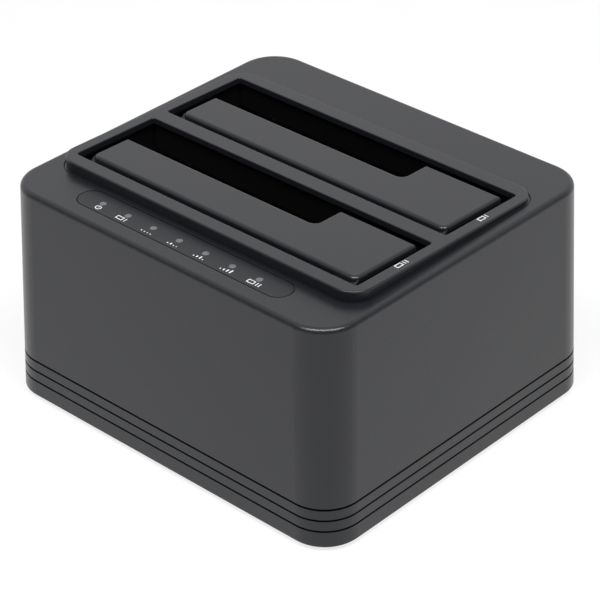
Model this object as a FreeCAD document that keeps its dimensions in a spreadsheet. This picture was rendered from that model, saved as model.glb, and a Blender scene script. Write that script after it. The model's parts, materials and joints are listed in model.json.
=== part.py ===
import FreeCAD, Part
import math
import os

import Sketcher

# Two-bay hard drive dock: a drafted box with a grooved base, a raised sloping bezel
# with two drive openings, and a sprung flap in each opening.
# Millimetres. X runs to the right, -Y is the front with the row of lights, +Z is up.
# The origin is the centre of the footprint on the table.

V = FreeCAD.Vector
UP = V(0, 0, 1)

# Driving sizes: name, value
SIZES = [
    # Outer shell: its height, and the flat top left round the bezel
    ("shell_height", 69.7),
    ("shoulder_side", 6.9),
    ("shoulder_front", 18.9),
    ("shoulder_back", 20.9),
    ("wall_lean", 2.25),
    ("corner_radius", 12.0),
    ("wall", 2.2),
    ("top_plate", 2.2),
    ("top_edge_radius", 1.6),
    ("bottom_bevel", 0.7),
    # Base cover, its seam and grooves
    ("base_height", 12.4),
    ("base_floor", 2.2),
    ("seam_gap", 0.7),
    ("seam_lip_wall", 1.2),
    ("seam_lip_height", 1.8),
    ("seam_clearance", 0.15),
    ("groove_width", 0.65),
    ("groove_depth", 0.7),
    ("groove_pitch", 3.56),
    ("foot_height", 1.0),
    ("foot_radius", 5.0),
    ("foot_recess", 0.6),
    ("foot_inset_x", 18.0),
    ("foot_inset_y", 23.0),
    ("vent_length", 26.0),
    ("vent_centre", 16.9),
    ("vent_width", 2.0),
    ("vent_pitch", 5.0),
    ("vent_count", 9),
    # Screws that hold the shell together
    ("post_inset_x", 12.5),
    ("post_inset_y", 11.7),
    ("post_radius", 3.6),
    ("post_hole_radius", 1.25),
    ("post_hole_depth", 12.0),
    ("boss_height", 6.0),
    ("boss_gap", 0.2),
    ("screw_radius", 1.2),
    ("screw_length", 11.0),
    ("screw_head_radius", 2.7),
    ("screw_head_height", 1.8),
    ("screw_clearance", 0.4),
    ("counterbore_depth", 3.6),
    ("screw_tip_gap", 0.5),
    ("fit_clearance", 0.05),
    # Bezel
    ("border_side", 3.8),
    ("border_front", 4.75),
    ("border_back", 5.1),
    ("bezel_radius", 7.0),
    ("bezel_rise_front", 3.4),
    ("bezel_rise_back", 1.25),
    ("bezel_edge_radius", 0.5),
    ("bezel_seat", 0.8),
    ("bezel_foot", 0.45),
    ("bezel_foot_height", 0.65),
    ("bezel_gap", 0.35),
    ("bay_margin", 3.5),
    ("bay_depth", 31.3),
    ("bay_bar", 5.75),
    ("bay_corner_radius", 0.8),
    ("lip_thickness", 1.85),
    ("lip_overhang", 0.8),
    ("lip_edge_radius", 0.3),
    ("collar_wall", 1.6),
    ("collar_depth", 7.9),
    ("collar_clearance", 0.3),
    # Flaps and their hinges
    ("flap_thickness", 1.9),
    ("flap_sink", 0.5),
    ("flap_gap_front", 2.85),
    ("flap_gap_back", 2.95),
    ("flap_gap_side", 2.9),
    ("flap_edge_radius", 1.2),
    ("flap_corner_radius", 2.4),
    ("flap_back_radius", 0.9),
    ("notch_depth", 10.6),
    ("notch_radius", 2.2),
    ("finger_width", 28.15),
    ("hinge_depth", 3.7),
    ("hinge_ahead", 1.1),
    ("knuckle_radius", 1.4),
    ("knuckle_length", 8.0),
    ("knuckle_web", 3.0),
    ("heel_reach", 1.9),
    ("heel_taper", 0.3),
    ("heel_top", 0.3),
    ("heel_thickness", 0.8),
    ("heel_length", 6.0),
    ("ledge_width", 1.45),
    ("ledge_thickness", 1.0),
    ("hinge_pin_radius", 0.7),
    ("hinge_pin_inboard", 6.8),
    ("hinge_pin_seat", 1.3),
    ("coil_wire", 0.4),
    ("coil_radius", 1.05),
    ("coil_pitch", 0.55),
    ("coil_turns", 3.5),
    ("coil_leg_gap", 0.1),
    # Drive cage
    ("cage_floor_z", 27.0),
    ("cage_floor", 1.6),
    ("drive_width", 101.6),
    ("drive_clearance", 1.0),
    ("drive_space", 26.4),
    ("back_rib", 0.65),
    ("rib_thickness", 1.6),
    ("front_rib_height", 14.0),
    ("flap_rest_gap", 0.2),
    ("ear_inset", 8.6),
    ("ear_offset", 3.2),
    ("ear_radius", 3.0),
    ("ear_thickness", 2.4),
    ("ear_boss_radius", 2.6),
    # Sockets for the drives
    ("socket_end_inset", 8.9),
    ("socket_back_offset", 4.7),
    ("socket_length", 42.4),
    ("socket_depth", 6.8),
    ("socket_height", 12.4),
    ("socket_clearance", 0.5),
    ("slot_width", 2.5),
    ("slot_depth", 6.5),
    ("power_slot", 21.4),
    ("data_slot", 11.2),
    ("slot_wall", 1.7),
    ("contact_pitch", 1.27),
    ("contact_width", 0.7),
    ("contact_thickness", 0.35),
    ("contact_height", 5.2),
    # Main board
    ("board_top", 16.5),
    ("board_thickness", 1.6),
    ("board_inset_side", 17.0),
    ("board_inset_front", 23.0),
    ("board_inset_back", 6.5),
    ("board_hole_inset_x", 3.5),
    ("board_hole_inset_y", 5.0),
    ("standoff_radius", 2.8),
    ("small_screw_radius", 0.9),
    ("small_hole_radius", 1.0),
    ("small_screw_length", 6.0),
    ("small_head_radius", 1.9),
    ("small_head_height", 1.1),
    ("inductor_x", 30.0),
    ("inductor_y", 17.0),
    ("inductor_pitch", 9.0),
    ("inductor_size", 7.0),
    ("inductor_height", 4.2),
    ("capacitor_radius", 3.15),
    ("capacitor_height", 6.0),
    ("sink_size", 16.0),
    ("sink_base", 1.4),
    ("fin_thickness", 1.2),
    ("fin_height", 4.2),
    ("fin_count", 6),
    # Row of lights
    ("strip_margin", 5.2),
    ("strip_width", 8.5),
    ("strip_setback", 10.3),
    ("strip_thickness", 1.0),
    ("strip_gap", 0.3),
    ("light_count", 7),
    ("light_margin", 25.04),
    ("light_shift", -1.2),
    ("light_radius", 1.2),
    ("light_clearance", 0.05),
    ("light_bar_thickness", 1.4),
    ("light_bar_width", 3.4),
    ("light_length", 7.5),
    ("lamp_board_drop", 7.3),
    ("lamp_board_thickness", 1.2),
    ("lamp_board_gap", 0.5),
    ("lamp_board_width", 7.6),
    ("lamp_size", 2.8),
    ("lamp_height", 1.7),
    ("lamp_boss_inset", 4.0),
    ("lamp_boss_radius", 2.4),
    ("ribbon_width", 8.0),
    ("ribbon_thickness", 0.35),
    ("ribbon_bend", 6.0),
    ("header_size", 3.0),
    ("header_setback", 4.0),
    # Rear panel
    ("jack_inset", 25.0),
    ("jack_width", 9.0),
    ("jack_height", 11.0),
    ("jack_length", 14.0),
    ("jack_bore_radius", 3.15),
    ("jack_bore_depth", 9.5),
    ("jack_nose_radius", 4.2),
    ("jack_nose_length", 3.725),
    ("jack_pin_radius", 1.0),
    ("jack_pin_setback", 0.9),
    ("usb_from_jack", 21.0),
    ("usb_width", 12.0),
    ("usb_height", 11.3),
    ("usb_length", 18.0),
    ("usb_skin", 0.4),
    ("usb_tongue_width", 5.6),
    ("usb_tongue_height", 3.2),
    ("usb_tongue_setback", 1.5),
    ("port_gap", 0.3),
    ("port_recess", 0.3),
    ("button_from_usb", 25.0),
    ("button_radius", 3.4),
    ("button_gap", 0.2),
    ("button_wall_gap", 0.225),
    ("button_proud", 1.2),
    ("button_flange", 0.9),
    ("button_flange_thickness", 1.0),
    ("button_travel", 0.8),
    ("button_z", 21.7),
    ("tact_width", 6.2),
    ("tact_height", 8.4),
    ("tact_depth", 3.6),
    ("tact_hole", 2.9),
    ("plunger_radius", 1.7),
    ("rocker_inset", 31.0),
    ("rocker_z", 27.0),
    ("rocker_width", 8.6),
    ("rocker_height", 13.4),
    ("rocker_angle", 9.0),
    ("rocker_gap", 0.35),
    ("rocker_face", 0.8),
    ("rocker_rise", 0.6),
    ("rocker_depth", 3.4),
    ("rocker_taper", 0.3),
    ("rocker_root", 2.0),
    ("switch_width", 12.6),
    ("switch_height", 18.6),
    ("switch_depth", 10.5),
    ("switch_well", 7.9),
    ("switch_flange", 1.3),
    ("switch_flange_thickness", 1.6),
    ("switch_clearance", 0.25),
    ("tab_width", 4.7),
    ("tab_length", 6.0),
    ("tab_thickness", 0.8),
    ("tab_pitch", 5.95),
]

# Sizes worked out in the sheet from those above: name, formula
DERIVED = [
    ("bay_width", "drive_width + 2 * bay_margin"),
    ("bay_pitch", "bay_depth + bay_bar"),
    ("bezel_width", "bay_width + 2 * border_side"),
    ("body_width", "bezel_width + 2 * shoulder_side"),
    ("body_depth", "shoulder_front + border_front + bay_pitch + bay_depth + border_back + shoulder_back"),
    ("bezel_front", "body_depth / 2 - shoulder_front"),
    ("bezel_back", "body_depth / 2 - shoulder_back"),
    ("bay_front_y", "border_front + bay_depth / 2 - bezel_front"),
    ("strip_y", "wall_lean + strip_setback - body_depth / 2"),
    ("foot_x", "body_width / 2 - foot_inset_x"),
    ("foot_y", "body_depth / 2 - foot_inset_y"),
    ("post_x", "body_width / 2 - post_inset_x"),
    ("post_y", "body_depth / 2 - post_inset_y"),
    ("ear_x", "bay_width / 2 + lip_overhang - ear_inset"),
    ("lamp_board_top", "foot_height + shell_height - top_plate - lamp_board_drop"),
    ("lamp_board_length", "2 * (ear_x - ear_radius - lamp_board_gap)"),
    ("lamp_boss_x", "lamp_board_length / 2 - lamp_boss_inset"),
    ("strip_length", "lamp_board_length - strip_margin"),
    ("light_pitch", "(lamp_board_length - light_margin) / (light_count - 1)"),
    ("first_light_x", "light_shift - light_pitch * (light_count - 1) / 2"),
    ("socket_x", "socket_end_inset + socket_length / 2 - drive_width / 2"),
    ("board_half_width", "body_width / 2 - board_inset_side"),
    ("board_front", "body_depth / 2 - board_inset_front"),
    ("board_back", "body_depth / 2 - board_inset_back"),
    ("board_hole_x", "board_half_width - board_hole_inset_x"),
    ("board_hole_y", "board_front - board_hole_inset_y"),
    ("jack_x", "body_width / 2 - jack_inset"),
    ("usb_x", "jack_x - usb_from_jack"),
    ("button_x", "usb_x - button_from_usb"),
    ("rocker_x", "rocker_inset - body_width / 2"),
]

# Where the cage's ribs stand: shares of the bay's depth for the side ribs, and of half a
# drive's width for the ribs behind and in front
SIDE_RIBS = (-0.15, 0.3)
BACK_RIBS = (-0.8, 0.3, 0.8)
FRONT_RIBS = (-0.75, 0, 0.75)

# Blocks on the main board: name, then x, y, length, width and height
COMPONENT_KEYS = ("x", "y", "length", "width", "height")
COMPONENTS = [
    ("bridge_chip", 12.0, 12.0, 14.0, 14.0, 1.4),
    ("clone_chip", 12.0, -16.0, 10.0, 10.0, 1.2),
    ("memory_chip", 30.0, 6.0, 5.3, 5.2, 1.8),
    ("crystal", -4.0, 3.0, 11.0, 4.6, 3.6),
    ("regulator", 30.0, -14.0, 6.5, 9.5, 2.3),
]

# Places of the round capacitors on the main board
CAPACITORS = [(-38.0, 18.0), (-38.0, 8.0), (-38.0, -20.0), (40.0, 20.0)]

doc = FreeCAD.newDocument("dock")
sheet = doc.addObject("Spreadsheet::Sheet", "Sizes")
NODES = []


class Size:
    """A number that remembers the sheet expression it comes from."""

    def __init__(self, value, text):
        self.value = float(value)
        self.text = text

    def _with(self, other, sign, value):
        return Size(value, "(%s %s %s)" % (self.text, sign, words(other)))

    def __add__(self, other):
        return self._with(other, "+", self.value + number(other))

    def __sub__(self, other):
        return self._with(other, "-", self.value - number(other))

    def __mul__(self, other):
        return self._with(other, "*", self.value * number(other))

    def __truediv__(self, other):
        return self._with(other, "/", self.value / number(other))

    def __radd__(self, other):
        return Size(number(other), words(other)) + self

    def __rsub__(self, other):
        return Size(number(other), words(other)) - self

    def __rmul__(self, other):
        return Size(number(other), words(other)) * self

    def __neg__(self):
        return 0 - self


class Sheet:
    """Gives each size of the sheet as an attribute."""


def number(size):
    return size.value if isinstance(size, Size) else float(size)


def words(size):
    return size.text if isinstance(size, Size) else "%g" % size


def arctan(ratio):
    return Size(math.degrees(math.atan(ratio.value)), "(atan(%s) / 1 deg)" % ratio.text)


def fill_sheet():
    sizes = Sheet()
    rows = [(name, "%g" % value) for name, value in SIZES]
    for name, *values in COMPONENTS:
        rows += [(name + "_" + key, "%g" % value) for key, value in zip(COMPONENT_KEYS, values)]
    rows += [(name, "=" + formula) for name, formula in DERIVED]
    for row, (name, content) in enumerate(rows, start=1):
        sheet.set("A%d" % row, name)
        sheet.set("B%d" % row, content)
        sheet.setAlias("B%d" % row, name)
    doc.recompute()
    for name, _ in rows:
        setattr(sizes, name, Size(sheet.get(name), "Sizes." + name))
    return sizes


s = fill_sheet()


def bind(thing, path, size):
    """Ties one property to the sheet."""
    thing.setExpression(path, words(size))


def place(thing, x=0, y=0, z=0, tilt=None):
    """Puts a piece at its place. A tilt leans it back about X, by an angle of the sheet."""
    if tilt is not None:
        axis = V(-1, 0, 0) if number(tilt) >= 0 else V(1, 0, 0)
        thing.Placement = FreeCAD.Placement(V(0, 0, 0), FreeCAD.Rotation(axis, abs(number(tilt))))
        bind(thing, "Placement.Rotation.Angle", tilt if number(tilt) >= 0 else -tilt)
    for path, size in (("x", x), ("y", y), ("z", z)):
        bind(thing, "Placement.Base." + path, size)


def node(thing, label):
    """Names a finished sub-part, so that it is written to its own file."""
    thing.Label = label
    NODES.append(thing)
    return thing


def new_body(label):
    return node(doc.addObject("PartDesign::Body", label), label)


def sketch(body, role, level=0):
    """A sketch on one of the body's own planes, moved along that plane's normal."""
    drawing = body.newObject("Sketcher::SketchObject", "Sketch")
    plane = next(f for f in body.Origin.OriginFeatures if f.Role == role)
    drawing.AttachmentSupport = (plane, "")
    drawing.MapMode = "FlatFace"
    bind(drawing, "AttachmentOffset.Base.z", level)
    return drawing


def hold(drawing, kind, *where, size):
    """Adds one dimension to a sketch and ties it to the sheet."""
    index = drawing.addConstraint(Sketcher.Constraint(kind, *where, number(size)))
    bind(drawing, "Constraints[%d]" % index, size)


def polygon(drawing, corners):
    """A closed outline through the corners, each held by its two coordinates."""
    points = [V(number(x), number(y), 0) for x, y in corners]
    first = drawing.GeometryCount
    count = len(points)
    for i in range(count):
        drawing.addGeometry(Part.LineSegment(points[i], points[(i + 1) % count]))
    for i in range(count):
        drawing.addConstraint(Sketcher.Constraint("Coincident", first + i, 2, first + (i + 1) % count, 1))
    for i, (x, y) in enumerate(corners):
        hold(drawing, "DistanceX", first + i, 1, size=x)
        hold(drawing, "DistanceY", first + i, 1, size=y)


def rectangle(drawing, x0, x1, y0, y1):
    polygon(drawing, [(x0, y0), (x1, y0), (x1, y1), (x0, y1)])


def rounded(drawing, x0, x1, y0, y1, radius):
    """A rectangle with four equal round corners."""
    a, b, c, d, r = (number(v) for v in (x0, x1, y0, y1, radius))
    first = drawing.GeometryCount
    sides = [((a + r, c), (b - r, c)), ((b, c + r), (b, d - r)),
             ((b - r, d), (a + r, d)), ((a, d - r), (a, c + r))]
    centres = [(b - r, c + r), (b - r, d - r), (a + r, d - r), (a + r, c + r)]
    for start, end in sides:
        drawing.addGeometry(Part.LineSegment(V(*start, 0), V(*end, 0)))
    for i, centre in enumerate(centres):
        turn = math.pi / 2 * (i - 1)
        circle = Part.Circle(V(*centre, 0), UP, r)
        drawing.addGeometry(Part.ArcOfCircle(circle, turn, turn + math.pi / 2))
    for i in range(4):
        arc = first + 4 + i
        drawing.addConstraint(Sketcher.Constraint("Tangent", first + i, 2, arc, 1))
        drawing.addConstraint(Sketcher.Constraint("Tangent", arc, 2, first + (i + 1) % 4, 1))
        drawing.addConstraint(Sketcher.Constraint("Vertical" if i % 2 else "Horizontal", first + i))
        if i:
            drawing.addConstraint(Sketcher.Constraint("Equal", first + 4, arc))
    hold(drawing, "Radius", first + 4, size=radius)
    hold(drawing, "DistanceY", first, 1, size=y0)
    hold(drawing, "DistanceX", first + 1, 1, size=x1)
    hold(drawing, "DistanceY", first + 2, 1, size=y1)
    hold(drawing, "DistanceX", first + 3, 1, size=x0)


def circle(drawing, x, y, radius):
    index = drawing.addGeometry(Part.Circle(V(number(x), number(y), 0), UP, number(radius)))
    hold(drawing, "Radius", index, size=radius)
    hold(drawing, "DistanceX", index, 3, size=x)
    hold(drawing, "DistanceY", index, 3, size=y)


def stadium(drawing, x0, x1, y, radius):
    """A slot with round ends, from end to end along X."""
    a, b, c, r = (number(v) for v in (x0, x1, y, radius))
    low = drawing.addGeometry(Part.LineSegment(V(a + r, c - r, 0), V(b - r, c - r, 0)))
    right = drawing.addGeometry(
        Part.ArcOfCircle(Part.Circle(V(b - r, c, 0), UP, r), -math.pi / 2, math.pi / 2))
    high = drawing.addGeometry(Part.LineSegment(V(b - r, c + r, 0), V(a + r, c + r, 0)))
    left = drawing.addGeometry(
        Part.ArcOfCircle(Part.Circle(V(a + r, c, 0), UP, r), math.pi / 2, 1.5 * math.pi))
    for one, other in ((low, right), (right, high), (high, left), (left, low)):
        drawing.addConstraint(Sketcher.Constraint("Tangent", one, 2, other, 1))
    drawing.addConstraint(Sketcher.Constraint("Horizontal", low))
    hold(drawing, "Radius", right, size=radius)
    hold(drawing, "DistanceX", right, 3, size=x1 - radius)
    hold(drawing, "DistanceX", left, 3, size=x0 + radius)
    hold(drawing, "DistanceY", right, 3, size=y)


def extrude(body, kind, drawing, length=None, reverse=False, both=False):
    """A pad or pocket. With no length a pocket goes right through."""
    feature = body.newObject("PartDesign::" + kind, kind)
    feature.Profile = drawing
    if length is None:
        feature.Type = "ThroughAll"
    else:
        bind(feature, "Length", length)
    feature.Reversed = reverse
    if both:
        feature.SideType = "Symmetric"
    return feature


def pad(body, drawing, length, reverse=False, both=False):
    return extrude(body, "Pad", drawing, length, reverse, both)


def pocket(body, drawing, length=None, reverse=False, both=False):
    return extrude(body, "Pocket", drawing, length, reverse, both)


def loft(body, kind, low, high):
    feature = body.newObject("PartDesign::" + kind, kind)
    feature.Profile = low
    feature.Sections = [high]
    feature.Ruled = True
    return feature


def pattern(body, feature, axis, pitch, count):
    """Repeats a feature along one of the body's own axes."""
    repeat = body.newObject("PartDesign::LinearPattern", "LinearPattern")
    repeat.Originals = [feature]
    repeat.Direction = (next(f for f in body.Origin.OriginFeatures if f.Role == axis), [""])
    repeat.Mode = "Spacing"
    bind(repeat, "Offset", pitch)
    bind(repeat, "Occurrences", count)
    body.Tip = repeat
    return repeat


def round_edges(body, radius, chosen):
    """Rounds the edges of the body that the test picks."""
    doc.recompute()
    base = body.Tip
    names = ["Edge%d" % (i + 1) for i, edge in enumerate(base.Shape.Edges) if chosen(edge)]
    feature = body.newObject("PartDesign::Fillet", "Fillet")
    feature.Base = (base, names)
    bind(feature, "Radius", radius)
    return feature


def edge_at(edge, x=None, y=None, z=None):
    """True where the whole edge lies at the given coordinates."""
    box = edge.BoundBox
    spans = ((x, box.XMin, box.XMax), (y, box.YMin, box.YMax), (z, box.ZMin, box.ZMax))
    near = 0.02
    return all(at is None or (abs(low - number(at)) < near and abs(high - number(at)) < near)
               for at, low, high in spans)


def box(x, y, z, length, width, height):
    """A block given by its lowest corner and its three sizes."""
    block = doc.addObject("Part::Box", "Box")
    bind(block, "Length", length)
    bind(block, "Width", width)
    bind(block, "Height", height)
    place(block, x, y, z)
    return block


def centred_box(x, y, z, length, width, height):
    return box(x - length / 2, y - width / 2, z, length, width, height)


def cylinder(x, y, z, radius, height):
    """An upright cylinder on its base point."""
    post = doc.addObject("Part::Cylinder", "Cylinder")
    bind(post, "Radius", radius)
    bind(post, "Height", height)
    place(post, x, y, z)
    return post


def fuse(shapes):
    joined = doc.addObject("Part::MultiFuse", "Fuse")
    joined.Shapes = shapes
    return joined


def group(label, shapes):
    """Identical loose pieces kept together as one node of separate solids."""
    together = doc.addObject("Part::Compound", "Compound")
    together.Links = shapes
    return node(together, label)


# Places that several pieces share

base_z = s.foot_height
top_z = base_z + s.shell_height
rim_z = base_z + s.base_height
housing_z = rim_z + s.seam_gap
floor_z = base_z + s.base_floor
lip_top_z = housing_z + s.seam_lip_height
ceiling_z = top_z - s.top_plate
seat_z = top_z - s.bezel_seat
collar_z = seat_z - s.collar_depth
board_z = s.board_top - s.board_thickness
bezel_slope = (s.bezel_rise_front - s.bezel_rise_back) / (s.bezel_front + s.bezel_back)
bezel_tilt = arctan(bezel_slope)
wall_tilt = arctan(s.wall_lean / s.shell_height)
bay_half = s.bay_width / 2
inner_half = bay_half + s.lip_overhang
outer_half = inner_half + s.collar_wall
flap_half = bay_half - s.flap_gap_side
wall_pairs = [(-1, -1), (1, -1), (1, 1), (-1, 1)]


def lean(z):
    """How far the leaning walls have come in at a height."""
    return s.wall_lean * (z - base_z) / s.shell_height


def half_width(z):
    return s.body_width / 2 - lean(z)


def half_depth(z):
    return s.body_depth / 2 - lean(z)


def bezel_top(y):
    """Height of the bezel's sloping top at a distance back."""
    return top_z + s.bezel_rise_front - bezel_slope * (y + s.bezel_front)


def bay_centre(bay):
    return s.bay_front_y + s.bay_pitch * bay


def bay_front(bay):
    return bay_centre(bay) - s.bay_depth / 2


def bay_back(bay):
    return bay_centre(bay) + s.bay_depth / 2


def hinge_y(bay):
    return bay_front(bay) + s.flap_gap_front - s.hinge_ahead


def hinge_z(bay):
    return bezel_top(hinge_y(bay)) - s.hinge_depth


def shell_outline(body, z, inset=0):
    """The rounded outline of the leaning shell at a height, drawn in by an inset."""
    drawing = sketch(body, "XY_Plane", z)
    x = half_width(z) - inset
    y = half_depth(z) - inset
    rounded(drawing, -x, x, -y, y, s.corner_radius - inset)
    return drawing


def circles_at(body, z, x, y, radius):
    """Four circles in the corners of a rectangle about the centre."""
    drawing = sketch(body, "XY_Plane", z)
    for across, along in wall_pairs:
        circle(drawing, x * across, y * along, radius)
    return drawing


# Shell

def base_cover():
    body = new_body("base_cover")
    bevel_z = base_z + s.bottom_bevel
    loft(body, "AdditiveLoft", shell_outline(body, base_z, s.bottom_bevel), shell_outline(body, bevel_z))
    loft(body, "AdditiveLoft", shell_outline(body, bevel_z), shell_outline(body, rim_z))
    lip_inset = s.wall + s.seam_clearance
    loft(body, "AdditiveLoft", shell_outline(body, rim_z, lip_inset),
         shell_outline(body, lip_top_z, lip_inset))
    cavity_inset = s.wall + s.seam_lip_wall
    loft(body, "SubtractiveLoft", shell_outline(body, floor_z, cavity_inset),
         shell_outline(body, lip_top_z, cavity_inset))
    seam_centre = rim_z + s.seam_gap / 2
    for step in (1, 2):
        top = seam_centre - s.groove_pitch * step + s.groove_width / 2
        ring = shell_outline(body, top, s.groove_depth)
        rectangle(ring, -s.body_width, s.body_width, -s.body_depth, s.body_depth)
        pocket(body, ring, s.groove_width)
    pad(body, circles_at(body, floor_z, s.post_x, s.post_y, s.post_radius), s.boss_height)
    pad(body, circles_at(body, floor_z, s.board_hole_x, s.board_hole_y, s.standoff_radius),
        board_z - floor_z)
    pocket(body, circles_at(body, board_z, s.board_hole_x, s.board_hole_y, s.small_screw_radius),
           s.small_screw_length)
    head = s.screw_head_radius + s.screw_clearance
    pocket(body, circles_at(body, base_z, s.post_x, s.post_y, head), s.counterbore_depth, reverse=True)
    shank = s.screw_radius + s.screw_clearance
    pocket(body, circles_at(body, floor_z + s.boss_height, s.post_x, s.post_y, shank))
    pocket(body, circles_at(body, base_z, s.foot_x, s.foot_y, s.foot_radius), s.foot_recess, reverse=True)
    slots = sketch(body, "XY_Plane", floor_z)
    x = -s.vent_pitch * (s.vent_count - 1) / 2
    for side in (-1, 1):
        y = s.vent_centre * side
        rectangle(slots, x - s.vent_width / 2, x + s.vent_width / 2,
                  y - s.vent_length / 2, y + s.vent_length / 2)
    pattern(body, pocket(body, slots), "X_Axis", s.vent_pitch, s.vent_count)


def rear_opening(body, draw):
    """Cuts one outline through the rear wall only."""
    drawing = sketch(body, "XZ_Plane", s.wall * 3 - half_depth(top_z))
    draw(drawing)
    pocket(body, drawing)


def upper_housing():
    body = new_body("upper_housing")
    loft(body, "AdditiveLoft", shell_outline(body, housing_z), shell_outline(body, top_z))
    loft(body, "SubtractiveLoft", shell_outline(body, housing_z, s.wall),
         shell_outline(body, ceiling_z, s.wall))
    round_edges(body, s.top_edge_radius, lambda edge: edge_at(edge, z=top_z))
    # Shallow seat round the bezel's foot
    seat = sketch(body, "XY_Plane", top_z)
    margin = s.bezel_foot + s.bezel_gap
    x = s.bezel_width / 2 + margin
    rounded(seat, -x, x, -(s.bezel_front + margin), s.bezel_back + margin, s.bezel_radius + margin)
    pocket(body, seat, s.bezel_seat)
    # Seat of the strip in front of the bezel, and the light holes in it
    strip = sketch(body, "XY_Plane", top_z)
    x = s.strip_length / 2 + s.strip_gap
    stadium(strip, -x, x, s.strip_y, s.strip_width / 2 + s.strip_gap)
    pocket(body, strip, s.strip_thickness)
    lights = sketch(body, "XY_Plane", top_z)
    circle(lights, s.first_light_x, s.strip_y, s.light_radius + s.strip_gap)
    pattern(body, pocket(body, lights, s.top_plate + s.bezel_seat), "X_Axis", s.light_pitch, s.light_count)
    # Opening for the collars under the bezel
    opening = sketch(body, "XY_Plane", top_z)
    x = outer_half + s.collar_clearance
    front = bay_front(0) - s.lip_overhang - s.collar_wall - s.collar_clearance
    back = bay_back(1) + s.lip_overhang + s.collar_wall + s.collar_clearance
    rectangle(opening, -x, x, front, back)
    pocket(body, opening, s.top_plate * 2)
    # Posts for the shell screws, the cage ears and the lamp board
    post_z = floor_z + s.boss_height + s.boss_gap
    pad(body, circles_at(body, ceiling_z, s.post_x, s.post_y, s.post_radius),
        ceiling_z - post_z, reverse=True)
    pocket(body, circles_at(body, post_z, s.post_x, s.post_y, s.post_hole_radius),
           s.post_hole_depth, reverse=True)
    bosses = sketch(body, "XY_Plane", ceiling_z)
    for side in (-1, 1):
        for y in ear_rows():
            circle(bosses, s.ear_x * side, y, s.ear_boss_radius)
    pad(body, bosses, ceiling_z - collar_z, reverse=True)
    holes = sketch(body, "XY_Plane", collar_z)
    for side in (-1, 1):
        for y in ear_rows():
            circle(holes, s.ear_x * side, y, s.small_screw_radius)
    pocket(body, holes, s.small_screw_length - s.ear_thickness, reverse=True)
    bosses = sketch(body, "XY_Plane", ceiling_z)
    for side in (-1, 1):
        circle(bosses, s.lamp_boss_x * side, s.strip_y, s.lamp_boss_radius)
    pad(body, bosses, ceiling_z - s.lamp_board_top, reverse=True)
    holes = sketch(body, "XY_Plane", s.lamp_board_top)
    for side in (-1, 1):
        circle(holes, s.lamp_boss_x * side, s.strip_y, s.small_screw_radius)
    pocket(body, holes, s.small_screw_length - s.lamp_board_thickness, reverse=True)
    # Openings in the rear wall
    rear_opening(body, lambda drawing: circle(
        drawing, s.jack_x, s.board_top + s.jack_height / 2, s.jack_nose_radius + s.port_gap))
    x = s.usb_width / 2 + s.port_gap
    rear_opening(body, lambda drawing: rectangle(
        drawing, s.usb_x - x, s.usb_x + x, s.board_top - s.port_gap,
        s.board_top + s.usb_height + s.port_gap))
    rear_opening(body, lambda drawing: circle(
        drawing, s.button_x, s.button_z, s.button_radius + s.button_gap))
    wide = s.switch_width / 2 + s.switch_clearance
    tall = s.switch_height / 2 + s.switch_clearance
    rear_opening(body, lambda drawing: rectangle(
        drawing, s.rocker_x - wide, s.rocker_x + wide, s.rocker_z - tall, s.rocker_z + tall))


def ear_rows():
    """Distances back of the two rows of cage ears."""
    front = bay_front(0) - s.lip_overhang - s.collar_wall - s.ear_offset
    back = bay_back(1) + s.lip_overhang + s.collar_wall + s.ear_offset
    return front, back


def rubber_feet():
    height = s.foot_height + s.foot_recess
    radius = s.foot_radius - s.seam_clearance
    group("rubber_feet", [cylinder(s.foot_x * across, s.foot_y * along, 0, radius, height)
                          for across, along in wall_pairs])


def screw(x, y, z, radius, length, head_radius, head_height, up=True):
    """A pan-head screw whose head's seat is at the given point."""
    if up:
        head = cylinder(x, y, z - head_height, head_radius, head_height)
        shank = cylinder(x, y, z - head_height, radius, length + head_height)
    else:
        head = cylinder(x, y, z, head_radius, head_height)
        shank = cylinder(x, y, z - length, radius, length + head_height)
    return fuse([head, shank])


def screws():
    small = (s.small_screw_radius - s.fit_clearance, s.small_screw_length - s.screw_tip_gap,
             s.small_head_radius, s.small_head_height)
    seat = base_z + s.counterbore_depth
    group("housing_screws", [
        screw(s.post_x * across, s.post_y * along, seat, s.screw_radius, s.screw_length,
              s.screw_head_radius, s.screw_head_height) for across, along in wall_pairs])
    group("board_screws", [
        screw(s.board_hole_x * across, s.board_hole_y * along, s.board_top, *small, up=False)
        for across, along in wall_pairs])
    ear_z = collar_z - s.ear_thickness
    group("cage_screws", [screw(s.ear_x * side, y, ear_z, *small)
                          for side in (-1, 1) for y in ear_rows()])
    lamp_z = s.lamp_board_top - s.lamp_board_thickness
    group("lamp_board_screws", [screw(s.lamp_boss_x * side, s.strip_y, lamp_z, *small)
                                for side in (-1, 1)])


# Bezel and drive cage

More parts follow.
